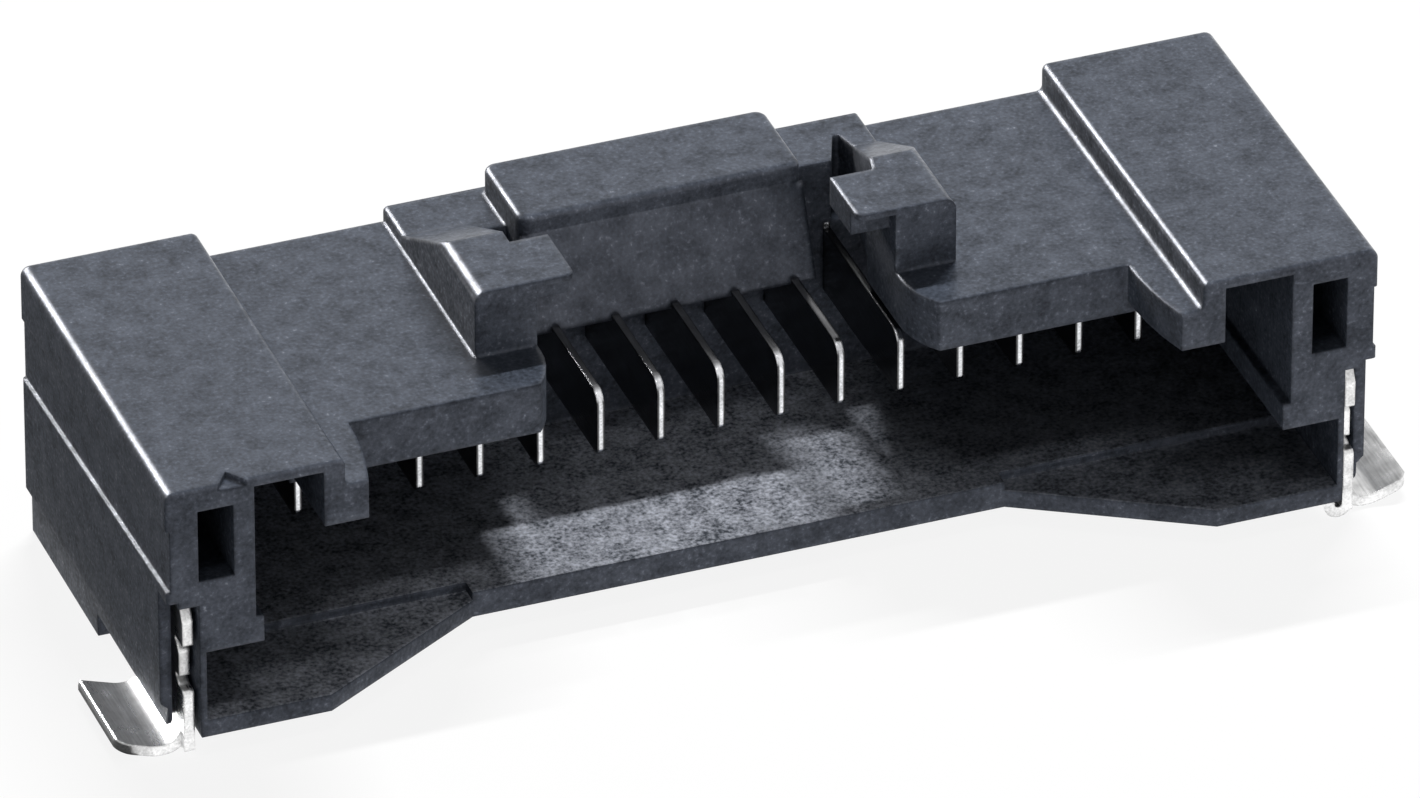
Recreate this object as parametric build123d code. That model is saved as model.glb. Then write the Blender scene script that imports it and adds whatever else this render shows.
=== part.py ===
from build123d import *
import math
import os

# Right-angle, surface-mount wire-to-board header with one row of blade contacts.
# A moulded housing opens to the front for the plug. Stamped blades stand in its back wall and leave
# behind it as solder tails, and a stamped solder nail is pressed into a slot at each end.
# X runs along the row, the plug comes from -Y, and Z is up from the board. All sizes are in millimetres.
# The origin is on the board, in the middle of the space that the part takes up there.

# Contact row
pitch = 1.25
contact_count = 15

# Housing, outside: heights are above the board
housing_depth = 8.75
end_margin = 3.75            # last contact to the side of the housing
pad_height = 6.2             # the thick ends
deck_height = 5.6            # the lower deck between them
deck_front = 2.06            # the deck starts this far behind the front
step_inset = 3.65            # side of the housing to the step between pad and deck
pad_edge_round = 0.2
step_top_round = 0.15
step_foot_round = 0.12
front_edge_round = 0.07      # along the top of the front
rear_edge_round = 0.12       # along the top of the back

# Grooves along the sides
side_groove_depth = 0.08
side_groove_bottom = 3.95    # at the front; the grooves come down towards the back
side_groove_top = 5.36
side_groove_drop = 0.33
ledge_height = 3.7           # underside of the lip over the nail slot
skirt_height = 1.1           # below this the side wall steps in
skirt_inset = 0.15

# Underside and front plate
board_gap = 0.5              # front plate to the board
plate_thickness = 0.38
floor_thickness = 0.57       # raised middle of the plate
floor_front_round = 0.15
plate_setback = 2.12         # the middle of the plate starts this far back
end_floor_setback = 2.5      # raised floor behind the open ends
plate_bend = 3.3             # side of the housing to the outer end of the slanted edge
plate_slant = 3.65           # length of the slanted edge along the row
seat_depth = 4.0             # the back of the housing rests on the board over this depth

# Mouth for the plug
mouth_depth = 7.25
mouth_margin = 1.96          # last contact to the end of the mouth
mouth_ceiling = 4.5
foot_reach = 0.16            # inward foot of each end wall
foot_bottom = 2.45
foot_top = 3.03
rail_slot_reach = 1.02       # groove under the foot, from the end of the mouth
key_slot_width = 1.42
key_slot_depth = 5.0
key_slot_roof = 0.18
rib_width = 0.9
rib_bottom = 4.78
rib_flare = 0.32

# Blind pockets in the end walls
pocket_inset = 0.64          # side of the housing to the pocket
pocket_width = 0.73
pocket_bottom = 4.08
pocket_top = 5.7
pocket_depth = 5.6

# Locking arms on the deck
latch_half_width = 4.98
arm_width = 1.26
arm_front = 3.4
arm_height = 7.05
arm_flat_end = 5.35          # here the top of the arm starts down to the block
arm_ramp_gap = 1.15          # foot of the ramp to the back of the housing
arm_edge_round = 0.25
hook_reach = 0.79
hook_length = 1.55
hook_lip = 0.12
hook_lip_length = 0.37
hook_root = 0.62
hook_corner_round = 0.18
block_height = 5.88          # low block that carries the arms
block_edge_round = 0.1
cutout_flare = 0.42
cutout_flare_length = 1.14
notch_start = 0.1            # notch between the right arm and the shelf, measured from the arm's inner face
notch_reach = 0.72
notch_end_reach = 0.6
notch_end_width = 0.13
notch_shelf_reach = 0.12
notch_gap = 0.65             # end of the notch to the back of the housing

# Bar across the back and the sloped face below it
bar_half_width = 2.95
bar_front = 6.5
bar_back_gap = 0.05
bar_height = 6.46
bar_corner_round = 0.25
bar_top_round = 0.12
lintel_slope_top = 6.08
lintel_reach = 0.8
lintel_bottom = 4.25

# First-contact mark on the left pad
mark_width = 0.7
mark_length = 0.42
mark_depth = 0.12
mark_offset = 2.4            # last contact to the middle of the mark

# Contacts: blade in the mouth, tail behind the housing
blade_thickness = 0.15
blade_tip = 3.15
blade_bottom = 2.94
blade_top = 4.35
tip_top_round = 0.34
tip_low_round = 0.15
barb_depth = 0.9
barb_height = 0.12
neck_height = 0.55
neck_centre = 3.6
tail_gap = 0.25              # back of the housing to the upright of the tail
tail_width = 0.45
tail_foot_length = 1.3
tail_foot_height = 0.3
tail_bend_round = 0.3

# Solder nails
nail_thickness = 0.22
nail_inset = 0.46            # side of the housing to the middle of the sheet
nail_front = 0.19
nail_back = 3.9
nail_top = 3.4
nail_strip_bottom = 0.12     # lower end of the front edge, in front of the tab
nail_lead = 0.3
barb_step = 0.24             # first undercut in the front edge
notch_step = 0.45            # deepest point of each undercut
upper_barb_bottom = 2.55
lower_barb_bottom = 1.72
lower_strip_top = 1.5
notch_rise = 0.25
notch_round = 0.09           # tops of the teeth
tab_front = 0.4
tab_back = 2.75
tab_reach = 1.4              # middle of the sheet to the outer edge of the solder tab
tab_trough = 0.62            # middle of the sheet to where the tab starts to rise
tab_lip_rise = 0.26
tab_bend_radius = 0.45
tab_lip_radius = 0.8
tab_corner_round = 0.3
curl_length = 0.7            # rolled lip on the inner side of the right nail
curl_radius = 0.19
curl_turn = 210              # degrees

# Nail slot in the housing
partition_thickness = 0.12   # thin wall between the rail slot and the nail slot
nail_slot_top = 3.55
nail_slot_open_depth = 1.0   # the slot is wider than the sheet over this depth
side_wall = 0.23
side_wall_setback = 0.52
side_wall_bottom = 0.47      # the side wall ends over the solder tab
side_wall_corner_round = 0.3

row_half = pitch * (contact_count - 1) / 2
half_width = row_half + end_margin
mouth_half = row_half + mouth_margin
rail_half = mouth_half + rail_slot_reach
slot_inner = rail_half + partition_thickness
slot_outer = half_width - side_wall
step_half = half_width - step_inset
rib_outer = mouth_half - key_slot_width
rib_inner = rib_outer - rib_width
plate_top = board_gap + plate_thickness
floor_height = board_gap + floor_thickness
arm_inner = latch_half_width - arm_width
arm_ramp_end = housing_depth - arm_ramp_gap
hook_end = arm_front + hook_length
nail_middle = half_width - nail_inset
tail_end = housing_depth + tail_gap + tail_foot_length
middle_depth = tail_end / 2


def front_prism(points, start, depth):
    """Outline in X and Z, pushed back from start by depth."""
    outline = Plane.XZ * make_face(Polyline(*points, close=True))
    return Pos(0, start, 0) * extrude(outline, -depth)


def side_prism(points, start, width):
    """Outline in Y and Z, pushed along X from start by width."""
    outline = Plane.YZ * make_face(Polyline(*points, close=True))
    return Pos(start, 0, 0) * extrude(outline, width)


def plan_prism(outline, bottom, top):
    """Plan outline from one height to another."""
    return Pos(0, 0, bottom) * extrude(outline, top - bottom)


def both_sides(right):
    """The right-hand shape with its mirror image on the left."""
    return right + mirror(right, Plane.YZ)


def body_blank():
    """Side walls, thick end pads and the deck, as one run from front to back."""
    skirt_half = half_width - skirt_inset
    corner = make_face(Polyline(
        (0, 0), (skirt_half, 0), (skirt_half, skirt_height - skirt_inset), (half_width, skirt_height),
        (half_width, pad_height), (step_half, pad_height), (step_half, deck_height), (0, deck_height),
        close=True))
    pad_corner = corner.vertices().sort_by_distance(Vector(half_width, pad_height))[0]
    corner = fillet(pad_corner, pad_edge_round)
    step_corner = corner.vertices().sort_by_distance(Vector(step_half, pad_height))[0]
    corner = fillet(step_corner, step_top_round)
    foot_corner = corner.vertices().sort_by_distance(Vector(step_half, deck_height))[0]
    corner = fillet(foot_corner, step_foot_round)
    right = extrude(Plane.XZ * corner, -housing_depth)
    upper_edges = right.edges().filter_by_position(Axis.Z, skirt_height, pad_height, inclusive=(False, True))
    right = fillet(upper_edges.group_by(Axis.Y)[0], front_edge_round)
    upper_edges = right.edges().filter_by_position(Axis.Z, skirt_height, pad_height, inclusive=(False, True))
    right = fillet(upper_edges.group_by(Axis.Y)[-1], rear_edge_round)
    return both_sides(right - side_groove())


def side_groove():
    """Shallow groove along the right-hand side, lower at the back."""
    return side_prism([
        (0, side_groove_bottom), (0, side_groove_top), (housing_depth, side_groove_top - side_groove_drop),
        (housing_depth, side_groove_bottom - side_groove_drop),
    ], half_width - side_groove_depth, side_groove_depth)


def plug_mouth():
    """Space for the plug, with the feet, the grooves under them and the key slots over it."""
    foot_half = mouth_half - foot_reach
    right = front_prism([
        (0, floor_height), (rail_half, floor_height), (rail_half, foot_bottom), (foot_half, foot_bottom),
        (foot_half, foot_top), (mouth_half, foot_top), (mouth_half, mouth_ceiling), (0, mouth_ceiling),
    ], 0, mouth_depth)
    key_top = pad_height - key_slot_roof
    right += front_prism([
        (rib_outer, foot_top), (mouth_half, foot_top), (mouth_half, key_top), (rib_outer, key_top),
    ], 0, key_slot_depth)
    right += front_prism([
        (0, foot_top), (mouth_half, foot_top), (mouth_half, rib_bottom), (0, rib_bottom),
    ], 0, deck_front)
    end_floor = make_face(Polyline(
        (half_width - plate_bend - plate_slant, 0), (rail_half, 0), (rail_half, end_floor_setback),
        (half_width - plate_bend - plate_slant, end_floor_setback), close=True))
    right += plan_prism(end_floor, plate_top, floor_height)
    return both_sides(right)


def open_top():
    """What is missing from the deck: the front strip between the ribs and the cut-out for the latch."""
    root = rib_inner - rib_flare
    rounding = TangentArc((root, deck_front), (rib_inner, 0), tangent=(0, -1))
    strip = make_face(Wire([
        Line((0, 0), (0, deck_front)), Line((0, deck_front), (root, deck_front)), *rounding.edges(),
        Line((rib_inner, 0), (0, 0)),
    ]))
    right = plan_prism(strip, foot_top, pad_height)
    flare_end = deck_front + cutout_flare_length
    flare = TangentArc((arm_inner, flare_end), (arm_inner + cutout_flare, deck_front), tangent=(0, -1))
    straight = Polyline(
        (arm_inner + cutout_flare, deck_front), (0, deck_front), (0, mouth_depth), (arm_inner, mouth_depth),
        (arm_inner, flare_end))
    cutout = make_face(Wire([*straight.edges(), *flare.edges()]))
    right += plan_prism(cutout, foot_top, pad_height)
    return both_sides(right)


def under_plate():
    """Space under the front plate and in front of its middle, down to the board."""
    bend = half_width - plate_bend
    setback = make_face(Polyline(
        (0, 0), (bend, 0), (bend - plate_slant, plate_setback), (0, plate_setback), close=True))
    right = plan_prism(setback, 0, foot_top)
    right += front_prism([
        (0, 0), (half_width, 0), (half_width, board_gap), (0, board_gap)], 0, housing_depth - seat_depth)
    return both_sides(right)


def nail_bay():
    """Slot for the nail, open to the front, and the space where its tab comes out."""
    right = front_prism([
        (slot_inner, 0), (slot_outer, 0), (slot_outer, nail_slot_top), (slot_inner, nail_slot_top),
    ], 0, nail_slot_open_depth)
    right += front_prism([
        (slot_inner, 0), (slot_outer, 0), (slot_outer, side_wall_bottom), (slot_inner, side_wall_bottom),
    ], 0, housing_depth - seat_depth)
    outline = make_face(Polyline(
        (0, 0), (housing_depth - seat_depth, 0), (housing_depth - seat_depth, side_wall_bottom),
        (side_wall_setback, side_wall_bottom), (side_wall_setback, ledge_height), (0, ledge_height),
        close=True))
    wall_corner = outline.vertices().sort_by_distance(Vector(side_wall_setback, side_wall_bottom))[0]
    outline = fillet(wall_corner, side_wall_corner_round)
    right += Pos(slot_outer, 0, 0) * extrude(Plane.YZ * outline, half_width - slot_outer)
    return both_sides(right)


def end_pockets():
    """Blind pockets that keep the end walls from sinking as they cool."""
    outer = half_width - pocket_inset
    return both_sides(front_prism([
        (outer - pocket_width, pocket_bottom), (outer, pocket_bottom), (outer, pocket_top),
        (outer - pocket_width, pocket_top)], 0, pocket_depth))


def lock_arm():
    """Right-hand arm with its hook and its half of the low block."""
    arm = side_prism([
        (arm_front, mouth_ceiling), (arm_front, arm_height), (arm_flat_end, arm_height),
        (arm_ramp_end, block_height), (housing_depth, block_height), (housing_depth, mouth_ceiling),
    ], arm_inner, arm_width)
    arm_edge = arm.edges().filter_by(Axis.Y).group_by(Axis.Z)[-1].sort_by(Axis.X)[-1]
    arm = fillet(arm_edge, arm_edge_round)
    block_top = arm.edges().filter_by_position(Axis.Z, block_height, block_height)
    arm = fillet(block_top.filter_by(Axis.Y).sort_by(Axis.X)[-1], block_edge_round)
    hook = side_prism([
        (arm_front, arm_height), (hook_end, arm_height), (hook_end, arm_height - hook_root),
        (arm_front + hook_lip_length, arm_height - hook_root),
        (arm_front + hook_lip_length, arm_height - hook_lip), (arm_front, arm_height - hook_lip),
    ], arm_inner - hook_reach, hook_reach)
    tip = hook.edges().filter_by(Axis.Z).group_by(Axis.X)[0].sort_by(Axis.Y)[0]
    return arm + fillet(tip, hook_corner_round)


def arm_notch():
    """Notch behind the right hook, between the arm and the shelf."""
    notch_end = housing_depth - notch_gap
    lower = make_face(Polyline(
        (arm_inner, hook_end), (arm_inner + notch_start, hook_end), (arm_inner + notch_reach, arm_ramp_end),
        (arm_inner + notch_end_reach, notch_end), (arm_inner + notch_end_reach - notch_end_width, notch_end),
        (arm_inner + notch_shelf_reach, mouth_depth), (arm_inner, mouth_depth), close=True))
    upper = make_face(Polyline(
        (arm_inner, hook_end), (arm_inner + notch_start, hook_end), (arm_inner + notch_reach, arm_ramp_end),
        (arm_inner, arm_ramp_end), close=True))
    return plan_prism(lower, mouth_ceiling, block_height) + plan_prism(upper, block_height, arm_height)


def cross_bar():
    """Raised bar at the back, with the sloped face under it that the plug latch slides past."""
    back = housing_depth - bar_back_gap
    bar = make_face(Polyline(
        (-bar_half_width, bar_front), (bar_half_width, bar_front), (bar_half_width, back),
        (-bar_half_width, back), close=True))
    bar = plan_prism(fillet(bar.vertices(), bar_corner_round), deck_height, bar_height)
    bar = fillet(bar.edges().group_by(Axis.Z)[-1], bar_top_round)
    lintel = side_prism([
        (bar_front, block_height), (bar_front, lintel_slope_top), (bar_front - lintel_reach, lintel_bottom),
        (mouth_depth + bar_back_gap, lintel_bottom), (mouth_depth + bar_back_gap, block_height),
    ], -bar_half_width, 2 * bar_half_width)
    shelf = front_prism([
        (-arm_inner, deck_height), (arm_inner, deck_height), (arm_inner, block_height),
        (-arm_inner, block_height)], mouth_depth, housing_depth - mouth_depth)
    return bar + lintel + shelf


def first_contact_mark():
    """Small sunk triangle at the front edge of the left pad."""
    middle = -row_half - mark_offset
    triangle = make_face(Polyline(
        (middle - mark_width / 2, -front_edge_round), (middle + mark_width / 2, -front_edge_round),
        (middle, mark_length), close=True))
    return plan_prism(triangle, pad_height - mark_depth, pad_height)


def contact(x):
    """One stamped blade in the plane of Y and Z, cut to shape in the sheet and not bent."""
    neck_top = neck_centre + neck_height / 2
    neck_bottom = neck_centre - neck_height / 2
    upright = housing_depth + tail_gap
    blade_end = housing_depth - barb_depth
    outline = make_face(Polyline(
        (blade_tip, blade_bottom), (blade_tip, blade_top), (mouth_depth, blade_top),
        (mouth_depth, blade_top + barb_height),
        (blade_end, blade_top), (blade_end, neck_top), (upright + tail_width, neck_top),
        (upright + tail_width, tail_foot_height), (tail_end, tail_foot_height), (tail_end, 0), (upright, 0),
        (upright, neck_bottom), (blade_end, neck_bottom), (blade_end, blade_bottom), close=True))
    bends = [
        ((blade_tip, blade_top), tip_top_round),
        ((blade_tip, blade_bottom), tip_low_round),
        ((upright + tail_width, neck_top), tail_bend_round + tail_width / 2),
        ((upright, neck_bottom), tail_bend_round / 2),
        ((upright + tail_width, tail_foot_height), tail_bend_round),
        ((upright, 0), tail_bend_round / 2),
    ]
    for corner, radius in bends:
        outline = fillet(outline.vertices().sort_by_distance(Vector(*corner))[0], radius)
    sheet = extrude(Plane.YZ * outline, blade_thickness)
    return Pos(x - blade_thickness / 2, 0, 0) * sheet


def nail_upright():
    """Flat, upright sheet of the right-hand nail, with teeth in its front edge."""
    tooth_top = upper_barb_bottom - notch_rise
    bend_top = nail_thickness / 2 + tab_bend_radius
    outline = make_face(Polyline(
        (nail_front, nail_strip_bottom), (nail_front, lower_strip_top),
        (nail_front + barb_step, lower_strip_top),
        (nail_front + notch_step, lower_strip_top + notch_rise / 2),
        (nail_front + notch_step, lower_barb_bottom), (nail_front + barb_step, lower_barb_bottom),
        (nail_front + barb_step, tooth_top), (nail_front + notch_step, tooth_top + notch_rise * 2 / 3),
        (nail_front + notch_step, upper_barb_bottom), (nail_front, upper_barb_bottom),
        (nail_front, nail_top - nail_lead), (nail_front + nail_lead / 2, nail_top), (nail_back, nail_top),
        (nail_back, side_wall_bottom), (tab_back, side_wall_bottom), (tab_back, bend_top),
        (tab_front, bend_top), (tab_front, nail_strip_bottom), close=True))
    for corner in [(nail_front, lower_strip_top), (nail_front + barb_step, tooth_top)]:
        outline = fillet(outline.vertices().sort_by_distance(Vector(*corner))[0], notch_round)
    return Pos(nail_middle - nail_thickness / 2, 0, 0) * extrude(Plane.YZ * outline, nail_thickness)


def nail_tab():
    """Bent solder tab of the right-hand nail: trough, rising lip and rounded corner."""
    middle_height = nail_thickness / 2
    outer = nail_middle + tab_reach
    centre_line = FilletPolyline(
        (nail_middle, middle_height + tab_bend_radius + nail_thickness), (nail_middle, middle_height),
        (nail_middle + tab_trough, middle_height), (outer, middle_height + tab_lip_rise),
        radius=[tab_bend_radius, tab_lip_radius])
    bent = Pos(0, tab_front, 0) * extrude(Plane.XZ * trace(centre_line, nail_thickness), tab_front - tab_back)
    plan = make_face(Polyline(
        (nail_middle - nail_thickness, tab_front), (outer, tab_front), (outer, tab_back),
        (nail_middle - nail_thickness, tab_back), close=True))
    plan = fillet(plan.vertices().sort_by_distance(Vector(outer, tab_front))[0], tab_corner_round)
    return bent & plan_prism(plan, 0, nail_top)


def solder_nail():
    """Right-hand nail without its rolled lip; its mirror image is the left one."""
    return nail_upright() + nail_tab()


def rolled_lip():
    """Short lip that the lower edge of the right nail rolls inwards."""
    centre_x = nail_middle - curl_radius
    centre_z = curl_radius + nail_thickness / 2
    end_angle = math.radians(-curl_turn)
    turn = ThreePointArc(
        (nail_middle, centre_z), (centre_x, centre_z - curl_radius),
        (centre_x + curl_radius * math.cos(end_angle), centre_z + curl_radius * math.sin(end_angle)))
    roll = extrude(Plane.XZ * trace(turn, nail_thickness), -curl_length)
    return Pos(0, nail_front, 0) * roll


def housing(inserts):
    """The moulding, with the exact seats of the contacts and nails."""
    body = body_blank() + both_sides(lock_arm()) - plug_mouth() - open_top() + cross_bar()
    body -= arm_notch() + under_plate() + nail_bay() + end_pockets() + first_contact_mark()
    return body - inserts


def place(shape):
    """Moves a shape from the front plane of the housing to the frame of the part."""
    return Pos(0, -middle_depth, 0) * shape


contacts = [contact(pitch * index - row_half) for index in range(contact_count)]
right_nail = solder_nail() + rolled_lip()
left_nail = mirror(solder_nail(), Plane.YZ)

nodes = {"housing": housing(contacts + [right_nail, left_nail])}
nodes["solder_nail_left"] = left_nail
nodes["solder_nail_right"] = right_nail
for number, blade in enumerate(contacts, start=1):
    nodes[f"contact_{number:02d}"] = blade

os.makedirs("parts", exist_ok=True)
for name, shape in nodes.items():
    export_step(place(shape), f"parts/{name}.step")
    print(name, len(shape.solids()), "solid", round(shape.volume, 3), "mm3")
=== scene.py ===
# %% [markdown]
# # A wire-to-board header, dressed for its portrait
# The object is a small black connector that sits on a circuit board. A plug with fifteen wires
# slides into its open front. Its shapes come from the CAD model, which is loaded as a fixed frame,
# so nothing is modelled twice. What is left for Blender is what the eye reads as real: a camera
# with the right perspective, soft studio light, and the finishes of glass-filled moulded plastic
# and tin-plated stampings.
#
# Blender works in metres. The object is so small that its lengths are written in millimetres here
# and multiplied by MM.

# %% Load the frame
import math

import bpy
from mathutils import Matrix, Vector


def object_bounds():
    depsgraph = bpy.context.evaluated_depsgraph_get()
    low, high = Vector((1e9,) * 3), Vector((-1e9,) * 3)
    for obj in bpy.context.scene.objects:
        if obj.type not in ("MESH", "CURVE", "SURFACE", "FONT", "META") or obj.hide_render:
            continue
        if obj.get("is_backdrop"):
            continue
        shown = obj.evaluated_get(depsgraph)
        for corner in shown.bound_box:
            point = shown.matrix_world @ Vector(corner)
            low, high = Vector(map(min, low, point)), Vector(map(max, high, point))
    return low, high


MM = 0.001


def in_mm(*lengths):
    """Turns lengths in metres into rounded millimetres, for printing."""
    return [round(length / MM, 2) for length in lengths]


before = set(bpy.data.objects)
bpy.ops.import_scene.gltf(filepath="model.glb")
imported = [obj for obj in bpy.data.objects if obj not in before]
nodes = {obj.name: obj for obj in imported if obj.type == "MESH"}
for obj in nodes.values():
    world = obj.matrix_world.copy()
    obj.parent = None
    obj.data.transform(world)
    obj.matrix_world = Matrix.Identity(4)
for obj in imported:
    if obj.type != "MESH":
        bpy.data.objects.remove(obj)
cad_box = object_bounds()
bpy.ops.object.select_all(action="DESELECT")
print("nodes:", len(nodes), "box:", in_mm(*cad_box[0], *cad_box[1]), "mm")

# %% [markdown]
# ## The camera
# The photograph is a close-up taken from far away, so parallel edges stay almost parallel. That
# calls for a very long lens. The camera looks down by about a third of a right angle, from the
# front and a little to the left. These values were found by fitting a camera to straight edges of
# the part. A small shift moves the picture in its frame without turning the camera, as the crop of
# the photograph did.

# %% Camera at the photograph's place
AZIMUTH = math.radians(20.51)      # to the left of straight ahead
ELEVATION = math.radians(32.94)    # above the horizon
DISTANCE = 333.75 * MM
AIM = Vector((0, -0.9, 3.34)) * MM
LENS = 432.8                       # millimetres
SENSOR = 36                        # millimetres wide
SHIFT = (0.0059, -0.0105)          # in picture widths
NEAR, FAR = 0.01, 10               # the camera sees what lies between these, in metres
PICTURE_WIDTH = 1420               # pixels

look = Vector((math.sin(AZIMUTH) * math.cos(ELEVATION),
               math.cos(AZIMUTH) * math.cos(ELEVATION),
               -math.sin(ELEVATION)))
camera_data = bpy.data.cameras.new("portrait_camera")
camera_data.lens = LENS
camera_data.sensor_width = SENSOR
camera_data.shift_x, camera_data.shift_y = SHIFT
camera_data.clip_start, camera_data.clip_end = NEAR, FAR
camera = bpy.data.objects.new("portrait_camera", camera_data)
camera.location = AIM - look * DISTANCE
camera.rotation_mode = "QUATERNION"
camera.rotation_quaternion = look.to_track_quat("-Z", "Y")
bpy.context.scene.collection.objects.link(camera)
bpy.context.scene.camera = camera
print("camera:", camera.name, "at", in_mm(*camera.location), "mm, a pixel covers",
      *in_mm(DISTANCE * SENSOR / LENS / PICTURE_WIDTH), "mm")

# %% [markdown]
# ## Helpers for materials
# A material is a small network of nodes. Each node takes values or other nodes' results at its
# input sockets, so one helper that adds a node and fills its sockets is enough for all of them.
# Colours are picked on a screen, in sRGB, while shaders add up light, which is linear, so every
# colour passes through one function that converts it.

# %% Helpers for shader nodes and colours
TIMES = {"operation": "MULTIPLY"}
PLUS = {"operation": "ADD"}
LARGER = {"operation": "MAXIMUM"}
BELOW = {"operation": "LESS_THAN"}
OF_COLOURS = {"data_type": "RGBA"}


def feed(tree, node, **inputs):
    """Fills a node's inputs, each with a value, a socket or a node, whose first output it takes.

    An input goes by its name, with _ for a space, or by its number, as i6, where names repeat.
    """
    for name, value in inputs.items():
        numbered = name[0] == "i" and name[1:].isdigit()
        socket = node.inputs[int(name[1:]) if numbered else name.replace("_", " ")]
        if isinstance(value, bpy.types.Node):
            value = value.outputs[0]
        if isinstance(value, bpy.types.NodeSocket):
            tree.links.new(value, socket)
        else:
            socket.default_value = value


def add_node(tree, kind, settings=None, stops=(), **inputs):
    """Adds a node with its settings, the stops of its colour ramp and its inputs."""
    node = tree.nodes.new(kind)
    for name, value in (settings or {}).items():
        setattr(node, name, value)
    for index, (position, code) in enumerate(stops):
        elements = node.color_ramp.elements
        stop = elements[index] if index < len(elements) else elements.new(position)
        stop.position = position
        stop.color = paint(code)
    feed(tree, node, **inputs)
    return node


def paint(code):
    """Turns an sRGB hex colour into the linear one that shaders use."""
    parts = [int(code[i:i + 2], 16) / 255 for i in (1, 3, 5)]
    return [p / 12.92 if p <= 0.04045 else ((p + 0.055) / 1.055) ** 2.4 for p in parts] + [1.0]


def new_material(name):
    """Starts a material, and gives it with its node tree and its Principled shader."""
    material = bpy.data.materials.new(name)
    material.use_nodes = True
    return material, material.node_tree, material.node_tree.nodes["Principled BSDF"]


print("mid grey #808080 is", round(paint("#808080")[0], 3), "in linear light")

# %% [markdown]
# ## Light and backdrop
# Small parts are photographed in a light tent. Two clues in the photograph tell where its lamps
# stood:
# - a pale patch on the plate has one sharp edge along the row. It is light that falls through the
#   cut-out, so a narrow strip lamp hangs above and behind, with its length along the row
# - the rounded edges that face left carry a soft white line. They mirror a softbox behind and to
#   the left
#
# The glow of the tent itself is weak, which keeps the mouth of the connector nearly black.

# %% White tent
TENT_GLOW = 0.11    # strength with which the tent lights the part, where 1 is white
TENT_SEEN = 1.0     # strength at which the camera, shiny things and glass see it

world = bpy.data.worlds.new("light_tent")
bpy.context.scene.world = world
world.use_nodes = True
tree = world.node_tree
tree.nodes.clear()
rays = add_node(tree, "ShaderNodeLightPath")
seen = rays.outputs["Is Camera Ray"]
for kind in ("Is Transmission Ray", "Is Glossy Ray"):
    seen = add_node(tree, "ShaderNodeMath", LARGER, i0=seen, i1=rays.outputs[kind])
glow = add_node(tree, "ShaderNodeBackground", Color=paint("#ffffff"), Strength=TENT_GLOW)
white = add_node(tree, "ShaderNodeBackground", Color=paint("#ffffff"), Strength=TENT_SEEN)
both = add_node(tree, "ShaderNodeMixShader", i0=seen, i1=glow, i2=white)
add_node(tree, "ShaderNodeOutputWorld", Surface=both)
print("tent:", TENT_GLOW, "as light,", TENT_SEEN, "as it is seen")

# %% [markdown]
# Each lamp is a rectangle of light. The narrower it is, the sharper its shadows, which is why the
# strip is only 6 mm deep. Lamps can be hidden from one kind of ray. The strip is hidden from
# reflections, where it would draw a hard line on every rounded edge. The softbox works the other
# way round: it is there only for the shine on the edges, and gives the matte faces no light.

# %% Soft lamps
def soft_lamp(name, place, width, depth, watts):
    """A lamp with its width along the row, tipped to the part. Lengths are in millimetres."""
    data = bpy.data.lights.new(name, "AREA")
    data.shape = "RECTANGLE"
    data.size, data.size_y = width * MM, depth * MM
    data.energy = watts
    lamp = bpy.data.objects.new(name, data)
    bpy.context.scene.collection.objects.link(lamp)
    lamp.location = Vector(place) * MM
    lamp.rotation_euler.x = -math.atan2(place[1], place[2])
    print("lamp:", name, width, "x", depth, "mm,", watts, "W")
    return lamp


key = soft_lamp("back_top_strip", place=(62, 94, 205), width=110, depth=6, watts=0.75)
key.visible_glossy = False
soft_lamp("front_top_strip", place=(-20, -65, 220), width=110, depth=20, watts=0.04)
shine = soft_lamp("back_left_box", place=(-80, 170, 88), width=104, depth=52, watts=1.05)
shine.visible_diffuse = False

# %% [markdown]
# The floor is a sheet of matte white paper. Paper scatters light evenly, so it has no gloss and
# only shows how bright it is. To the camera it is mostly plain white, with a share of real paper
# left in, which takes the soft shadow that tells the eye the part is standing on it. In reflections
# it is a little brighter than white, which puts a sheen on the faces that look down at it. As a
# source of light it is only grey, so that the shaded sides of the part stay dark.

# %% The white sheet
SHEET_SIZE = 3            # metres, so that its edges lie far outside the picture
SHEET_GAP = 0.01 * MM     # keeps it from touching the solder tabs
PLAIN_SHARE = 0.88        # plain white in what the camera sees of it
MIRRORED = 1.35           # its brightness in reflections, where 1 is white

bpy.ops.mesh.primitive_plane_add(size=SHEET_SIZE, location=(0, 0, cad_box[0].z - SHEET_GAP))
floor = bpy.context.object
floor.name = "white_sheet"
sheet, tree, shader = new_material("matte_white_paper")
tree.nodes.clear()
rays = add_node(tree, "ShaderNodeLightPath")
by_camera, by_shine, by_glass = (
    rays.outputs[f"Is {kind} Ray"] for kind in ("Camera", "Glossy", "Transmission"))
tone = add_node(tree, "ShaderNodeMix", OF_COLOURS, i0=by_camera,
                i6=paint("#b4b4b4"), i7=paint("#fafafa"))
paper = add_node(tree, "ShaderNodeBsdfDiffuse", Color=tone.outputs[2], Roughness=0.5)
bright = add_node(tree, "ShaderNodeMapRange", Value=by_shine,
                  From_Min=0.0, From_Max=1.0, To_Min=1.0, To_Max=MIRRORED)
plain = add_node(tree, "ShaderNodeEmission", Color=paint("#ffffff"), Strength=bright)
shown = add_node(tree, "ShaderNodeMath", {"operation": "MULTIPLY_ADD"},
                 i0=by_camera, i1=PLAIN_SHARE, i2=by_shine)
shown = add_node(tree, "ShaderNodeMath", LARGER, i0=shown, i1=by_glass)
mixed = add_node(tree, "ShaderNodeMixShader", i0=shown, i1=paper, i2=plain)
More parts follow.
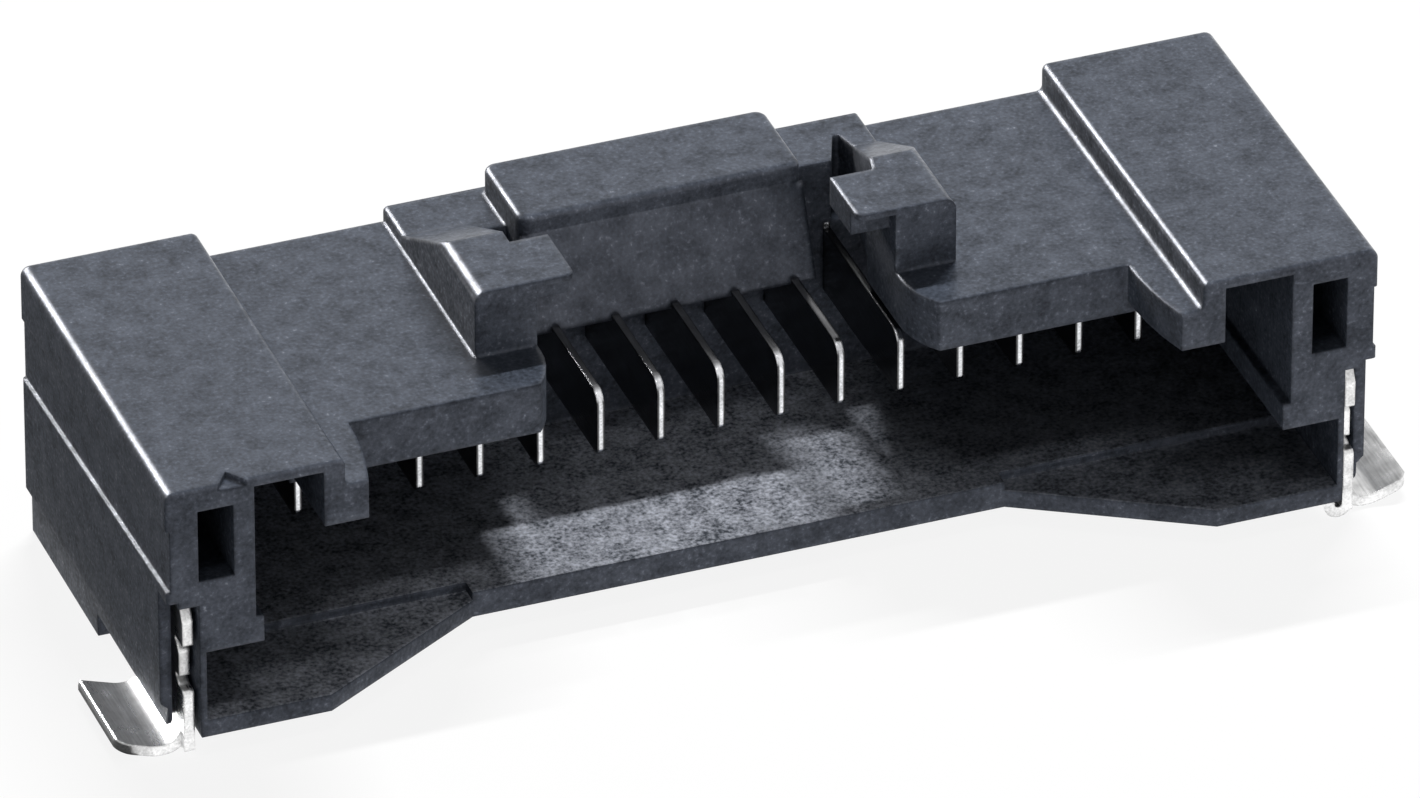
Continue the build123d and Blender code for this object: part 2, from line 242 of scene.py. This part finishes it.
add_node(tree, "ShaderNodeOutputMaterial", Surface=mixed)
floor.data.materials.append(sheet)
floor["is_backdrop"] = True
print("sheet:", sheet.name, "at a height of", *in_mm(floor.location.z), "mm")

# %% [markdown]
# A photographer lays a black card beside a shiny object to give it a dark side. Here it lies behind
# and to the left, where the left end of the housing mirrors it. Only reflections see it. Card is
# matte, so it shows as one even dark tone.

# %% A dark card for the left side
CARD_X, CARD_Y = -37 * MM, 26 * MM
CARD_WIDTH, CARD_DEPTH = 48 * MM, 68 * MM

bpy.ops.mesh.primitive_plane_add(size=1, location=(CARD_X, CARD_Y, cad_box[0].z))
card = bpy.context.object
card.name = "dark_card"
card.scale = (CARD_WIDTH, CARD_DEPTH, 1)
bpy.ops.object.transform_apply(location=False, rotation=False, scale=True)
black, tree, shader = new_material("black_card")
feed(tree, shader, Base_Color=paint("#202224"), Roughness=0.9)
card.data.materials.append(black)
for kind in ("camera", "diffuse", "shadow"):
    setattr(card, f"visible_{kind}", False)
card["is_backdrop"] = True
print("card:", in_mm(*card.dimensions), "mm")

# %% [markdown]
# ## The moulded housing
# The plastic is a high-temperature resin filled with short glass fibres, moulded against a finely
# eroded steel tool. It is dark grey rather than black, and at this magnification the fibres near
# the skin show as fine grain, soft clouds and a few bright flecks. Most of what the eye sees is
# sheen, not colour: the clouds change how strongly the skin mirrors the white tent.
#
# The material asks two things of each point: where it lies, and which way its face looks. Each side
# of a moulding met another side of the tool, so its skin may differ from one side to the next.

# %% Resin: where a point lies and which way it faces
resin, tree, shader = new_material("glass_filled_resin")
point = add_node(tree, "ShaderNodeTexCoord")
place = point.outputs["Object"]
lies = add_node(tree, "ShaderNodeSeparateXYZ", Vector=place)
along, height = lies.outputs["X"], lies.outputs["Z"]
faces = add_node(tree, "ShaderNodeSeparateXYZ", Vector=point.outputs["Normal"])
rightward, backward, upward = (faces.outputs[axis] for axis in "XYZ")    # each from -1 to 1
print("resin starts with", len(tree.nodes), "nodes")

# %% [markdown]
# Two noise patterns make the skin. Their scale is the number of patches in a metre, so it is one
# over the size of a patch:
# - the grain comes from fibres that lie in the skin. A fibre is about 0.01 mm thick, which is half
#   a pixel here and too fine to show, and 0.1 to 0.3 mm long. So the grain is drawn coarser, nearly
#   as coarse as a short fibre is long
# - the clouds are where the melt ran together with more or fewer fibres in it. They are about half
#   a millimetre wide

# %% Resin: grain and clouds
GRAIN = 0.09 * MM
CLOUD = 0.5 * MM
DARK_PATCH, PALE_PATCH = 0.35, 0.65    # a noise runs from 0 to 1 but seldom leaves this range

speckle = add_node(tree, "ShaderNodeTexNoise", Vector=place,
                   Scale=1 / GRAIN, Detail=3.0, Roughness=0.6)
cloud = add_node(tree, "ShaderNodeTexNoise", Vector=place,
                 Scale=1 / CLOUD, Detail=5.0, Roughness=0.62)
tone = add_node(tree, "ShaderNodeMix", Factor=0.42, A=speckle, B=cloud)
print("grain", *in_mm(GRAIN), "mm, clouds", *in_mm(CLOUD), "mm")

# %% [markdown]
# The colour runs from near black through dark grey to the pale grey of bare glass. The plate inside
# the mouth is painted paler, as a painted pool of the light that falls on it through the cut-out.
# The painted light is weaker to the right, as painted shade. How pale it is and where it fades were
# matched to the patch of light on the plate.

# %% Resin: colour
MOULDED_TONES = [(0.34, "#1b1f25"), (0.63, "#474d58"), (0.72, "#7c818a")]
# the second list of stops is a painted pool of light on the plate
LIT_PATCH_TONES = [(0.38, "#444950"), (0.62, "#c6cad5")]
PLATE_LEVEL = 1.3 * MM                       # the plate's upper side lies below this
FADE_START, FADE_END = 3.2 * MM, 5.5 * MM    # where the painted light fades, to the right of the middle
PAINTED_LIGHT_RIGHT = 0.45                           # what is left of the painted light there

moulded = add_node(tree, "ShaderNodeValToRGB", Fac=tone, stops=MOULDED_TONES)
lit_patch = add_node(tree, "ShaderNodeValToRGB", Fac=tone, stops=LIT_PATCH_TONES)
low = add_node(tree, "ShaderNodeMath", BELOW, i0=height, i1=PLATE_LEVEL)
plate = add_node(tree, "ShaderNodeMath", TIMES, i0=low, i1=upward)
light_fading = add_node(tree, "ShaderNodeMapRange", Value=along,
                  From_Min=FADE_START, From_Max=FADE_END, To_Min=1.0, To_Max=PAINTED_LIGHT_RIGHT)
# painted light: the plate's upper side is paler, and less so to the right
painted_light = add_node(tree, "ShaderNodeMath", TIMES, i0=plate, i1=light_fading)
skin = add_node(tree, "ShaderNodeMix", OF_COLOURS, i0=painted_light, i6=moulded, i7=lit_patch)
feed(tree, shader, Base_Color=skin.outputs[2])
print("resin colours:", *(code for _, code in MOULDED_TONES),
      "on the plate:", *(code for _, code in LIT_PATCH_TONES))

# %% [markdown]
# The eroded skin is satin. Steep walls are duller than faces that look up, because they drag along
# the tool when the part is pushed out of it. Walls to the left were matched a little smoother.

# %% Resin: roughness
SMOOTH, ROUGH = 0.28, 0.4
DRAGGED = 0.36               # added on a wall that stands upright
DRAGGED_LEFT = 0.8           # share of that on the left

satin = add_node(tree, "ShaderNodeMapRange", Value=tone,
                 From_Min=DARK_PATCH, From_Max=PALE_PATCH, To_Min=ROUGH, To_Max=SMOOTH)
dragged = add_node(tree, "ShaderNodeMapRange", Value=upward,
                   From_Min=0.1, From_Max=0.45, To_Min=DRAGGED, To_Max=0.0)
on_left = add_node(tree, "ShaderNodeMapRange", Value=rightward,
                   From_Min=-1.0, From_Max=-0.5, To_Min=DRAGGED_LEFT, To_Max=1.0)
dragged = add_node(tree, "ShaderNodeMath", TIMES, i0=dragged, i1=on_left)
rough = add_node(tree, "ShaderNodeMath", PLUS, i0=satin, i1=dragged)
feed(tree, shader, Roughness=rough)
print("resin roughness:", SMOOTH, "to", ROUGH, "and up to", DRAGGED, "more on steep walls")

# %% [markdown]
# The sheen is what the eye reads as plastic, so it gets the most care. It starts from the clouds.
# Four shares then make it stronger or weaker on some faces. They are matched to this photograph and
# its light, and aren't properties of the resin: fronts shine most, ramps and walls to the left are
# duller, and grains of glass flash, most of all on the left, where the part looks scuffed.
#
# Resins of this kind have an IOR between 1.5 and 1.6, and a little less than that matched best. The
# tint is a little blue, as the sheen is in the photograph.

# %% Resin: sheen
RESIN_IOR = 1.48
DULL_CLOUD, SHINY_CLOUD = 0.3, 0.5
SHEEN_FRONTS = 2.2           # faces that look to the front
SHEEN_RAMPS = 0.2            # faces that look up and back
SHEEN_LEFT = 0.6             # walls that look to the left
SHEEN_FLECKS = 2.1           # the brightest grains
FLECK_POWER_LEFT = 2.0       # on the left a fleck's share is squared

sheen = add_node(tree, "ShaderNodeMapRange", Value=cloud,
                 From_Min=DARK_PATCH, From_Max=PALE_PATCH, To_Min=DULL_CLOUD, To_Max=SHINY_CLOUD)
fronts = add_node(tree, "ShaderNodeMapRange", Value=backward,
                  From_Min=-1.0, From_Max=-0.3, To_Min=SHEEN_FRONTS, To_Max=1.0)
sloped = add_node(tree, "ShaderNodeMath", TIMES, i0=upward, i1=backward)
ramps = add_node(tree, "ShaderNodeMapRange", Value=sloped,
                 From_Min=0.15, From_Max=0.35, To_Min=1.0, To_Max=SHEEN_RAMPS)
left_walls = add_node(tree, "ShaderNodeMapRange", Value=rightward,
                      From_Min=-1.0, From_Max=-0.75, To_Min=SHEEN_LEFT, To_Max=1.0)
flecks = add_node(tree, "ShaderNodeMapRange", Value=speckle,
                  From_Min=0.6, From_Max=0.72, To_Min=1.0, To_Max=SHEEN_FLECKS)
scuffed = add_node(tree, "ShaderNodeMapRange", Value=rightward,
                   From_Min=-1.0, From_Max=-0.4, To_Min=FLECK_POWER_LEFT, To_Max=1.0)
flecks = add_node(tree, "ShaderNodeMath", {"operation": "POWER"}, i0=flecks, i1=scuffed)
for share in (fronts, ramps, left_walls, flecks):
    sheen = add_node(tree, "ShaderNodeMath", TIMES, i0=sheen, i1=share)
feed(tree, shader, Specular_IOR_Level=sheen, Specular_Tint=paint("#e1e5f5"), IOR=RESIN_IOR)
print("resin sheen: IOR", RESIN_IOR, "level", DULL_CLOUD, "to", SHINY_CLOUD, "times the shares")

# %% [markdown]
# No moulded edge is sharp. A bevel node bends the shading across an edge, so that it catches the
# light as a rounded one does, and the radius of the CAD edge below it stays as it is. The foot of
# the step beside each end pad is softer. The bump lays the grain on top as a relief about as deep
# as the pits of an eroded tool, a hundredth of a millimetre.

# %% Resin: soft edges and relief
EDGE_RADIUS, FOOT_RADIUS = 0.15 * MM, 0.22 * MM
STEP_HALF = 8.85 * MM        # from the middle of the part to the step
FOOT_REACH = 0.5 * MM        # to both sides of it
FOOT_TOP = 5.85 * MM         # a quarter millimetre above the deck, at its foot
RELIEF = 0.012 * MM

aside = add_node(tree, "ShaderNodeMath", {"operation": "ABSOLUTE"}, i0=along)
beside = add_node(tree, "ShaderNodeMath", {"operation": "COMPARE"},
                  i0=aside, i1=STEP_HALF, i2=FOOT_REACH)
below = add_node(tree, "ShaderNodeMath", BELOW, i0=height, i1=FOOT_TOP)
foot = add_node(tree, "ShaderNodeMath", TIMES, i0=beside, i1=below)
radius = add_node(tree, "ShaderNodeMapRange", Value=foot,
                  From_Min=0.0, From_Max=1.0, To_Min=EDGE_RADIUS, To_Max=FOOT_RADIUS)
edge = add_node(tree, "ShaderNodeBevel", {"samples": 8}, Radius=radius)
bump = add_node(tree, "ShaderNodeBump", Strength=0.25, Distance=RELIEF,
                Height=speckle, Normal=edge)
feed(tree, shader, Normal=bump)
print("resin:", len(tree.nodes), "nodes, edges", *in_mm(EDGE_RADIUS, FOOT_RADIUS), "mm")

# %% [markdown]
# ## The stamped metal
# Blades and solder nails are stamped from thin copper alloy and plated with tin. Tin is a soft
# white metal with a slightly cloudy gloss, so it mirrors the tent as broad soft tones and not as a
# picture. A metal has no colour under its shine: its colour is what it does to the reflection. On
# the blades the lines of the rolled strip show through the tin, which makes it satin. The nails
# carry more tin, for soldering, so theirs is paler and more even.
#
# The clouds in the plating are half a millimetre wide. The lines of the strip are about 0.01 mm
# apart, which is half a pixel here and too fine to show, so they are drawn 0.05 mm apart.

# %% Tin plating
TIN_CLOUD = 0.5 * MM
STRIP_LINE = 0.05 * MM
STRIP_STRETCH = (1.0, 0.08, 1.0)    # the lines run from front to back, 12 times as long as wide
TIN_EDGE_RADIUS = 0.07 * MM
TIN_RELIEF = 0.01 * MM


def tin_plate(name, light, dark, smooth, rough, relief):
    """Tin with a faint cloud and fine strip lines, between two colours and two roughnesses."""
    material, tree, shader = new_material(name)
    place = add_node(tree, "ShaderNodeTexCoord").outputs["Object"]
    cloud = add_node(tree, "ShaderNodeTexNoise", Vector=place, Scale=1 / TIN_CLOUD, Detail=3.0)
    strip = add_node(tree, "ShaderNodeMapping", Vector=place, Scale=STRIP_STRETCH)
    lines = add_node(tree, "ShaderNodeTexNoise", Vector=strip, Scale=1 / STRIP_LINE, Detail=1.0)
    tone = add_node(tree, "ShaderNodeMix", Factor=0.4, A=cloud, B=lines)
    colour = add_node(tree, "ShaderNodeValToRGB", Fac=tone, stops=[(0.35, dark), (0.62, light)])
    gloss = add_node(tree, "ShaderNodeMapRange", Value=tone,
                     From_Min=DARK_PATCH, From_Max=PALE_PATCH, To_Min=rough, To_Max=smooth)
    edge = add_node(tree, "ShaderNodeBevel", {"samples": 6}, Radius=TIN_EDGE_RADIUS)
    bump = add_node(tree, "ShaderNodeBump", Strength=relief, Distance=TIN_RELIEF,
                    Height=lines, Normal=edge)
    feed(tree, shader, Base_Color=colour, Roughness=gloss, Metallic=1.0, Normal=bump)
    print("tin:", name, dark, "to", light, "roughness", smooth, "to", rough)
    return material


blade_tin = tin_plate("satin_tin_on_blades", light="#dfe0e3", dark="#a4a5a8",
                      smooth=0.14, rough=0.22, relief=0.2)
nail_tin = tin_plate("bright_tin_on_nails", light="#e6e6e6", dark="#b4b4b4",
                     smooth=0.24, rough=0.38, relief=0.04)

# %% [markdown]
# A stamped edge is never one even face: the punch burnishes a bright band, and the rest of the
# thickness tears off dull. So the front edge of a blade shows as a thin bright line. The same dull
# share also lies on the blades' flat sides, where it is painted shade for the narrow gaps between
# them, and the top edge, which looks up, is darker still, as painted shade. On a real edge the band
# lies to one side. It is drawn down the middle here, where a line of two or three pixels shows
# best.
#
# The band is worked out from how far a point lies from the middle of its blade. The blades stand
# one pitch apart, and a ping-pong over half a pitch turns the place along the row into that
# distance for all of them at once.

# %% The burnished band on the blades' edges, with painted shade on their sides and tops
PITCH = 1.25 * MM
BAND_HALF = 0.025 * MM       # the band is a third of the blade's thickness of 0.15 mm
BAND_FADE = 0.05 * MM        # from the middle, where it has gone over into the torn part
TORN_AND_SHADED_SHARE = 0.12            # colour left on the torn part, and painted shade on the flat sides
TOP_SHADE_SHARE = 0.22             # painted shade: what is left on the top edge

tree = blade_tin.node_tree
shader = tree.nodes["Principled BSDF"]
point = add_node(tree, "ShaderNodeTexCoord")
along = add_node(tree, "ShaderNodeSeparateXYZ", Vector=point.outputs["Object"]).outputs["X"]
upward = add_node(tree, "ShaderNodeSeparateXYZ", Vector=point.outputs["Normal"]).outputs["Z"]
off_middle = add_node(tree, "ShaderNodeMath", {"operation": "PINGPONG"}, i0=along, i1=PITCH / 2)
band = add_node(tree, "ShaderNodeMapRange", Value=off_middle,
                From_Min=BAND_HALF, From_Max=BAND_FADE, To_Min=1.0, To_Max=TORN_AND_SHADED_SHARE)
tip = add_node(tree, "ShaderNodeMapRange", Value=upward,      # the rounded tip is bright all over
               From_Min=0.3, From_Max=0.6, To_Min=0.0, To_Max=1.0)
band = add_node(tree, "ShaderNodeMath", LARGER, i0=band, i1=tip)
# painted shade: faces that look up, the top edges, keep only a share of the colour
painted_top_shade = add_node(tree, "ShaderNodeMapRange", Value=upward,
                    From_Min=0.86, From_Max=0.99, To_Min=1.0, To_Max=TOP_SHADE_SHARE)
share = add_node(tree, "ShaderNodeMath", TIMES, i0=band, i1=painted_top_shade)
plated = shader.inputs["Base Color"].links[0].from_socket
# the plated colour times the band, the torn part and the painted shade
cut_and_shade = add_node(tree, "ShaderNodeMix", {"data_type": "RGBA", "blend_type": "MULTIPLY"},
               i0=1.0, i6=plated, i7=share)
feed(tree, shader, Base_Color=cut_and_shade.outputs[2])
print("bright band:", *in_mm(2 * BAND_HALF), "mm, gone at", *in_mm(2 * BAND_FADE), "mm")

# %% [markdown]
# ## The finishes on the pieces
# The CAD nodes carry plain placeholder materials. Each gets the finish of the real piece, found by
# its name.

# %% Put the finishes on the nodes
for name, node in nodes.items():
    finish = blade_tin
    if name == "housing":
        finish = resin
    elif name.startswith("solder_nail"):
        finish = nail_tin
    node.data.materials.clear()
    node.data.materials.append(finish)
print("finished nodes:", sorted(nodes))

# %% [markdown]
# ## Colours as they are, and the size of the result
# The Standard view shows each colour as it was computed, with no film look over it. The size of the
# dressed part is then printed, to set beside the size of the CAD model printed at the start: they
# are the same, because nothing here changes a shape.

bpy.context.scene.view_settings.view_transform = "Standard"

low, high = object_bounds()
print("visual box:", in_mm(*low, *high), "mm")
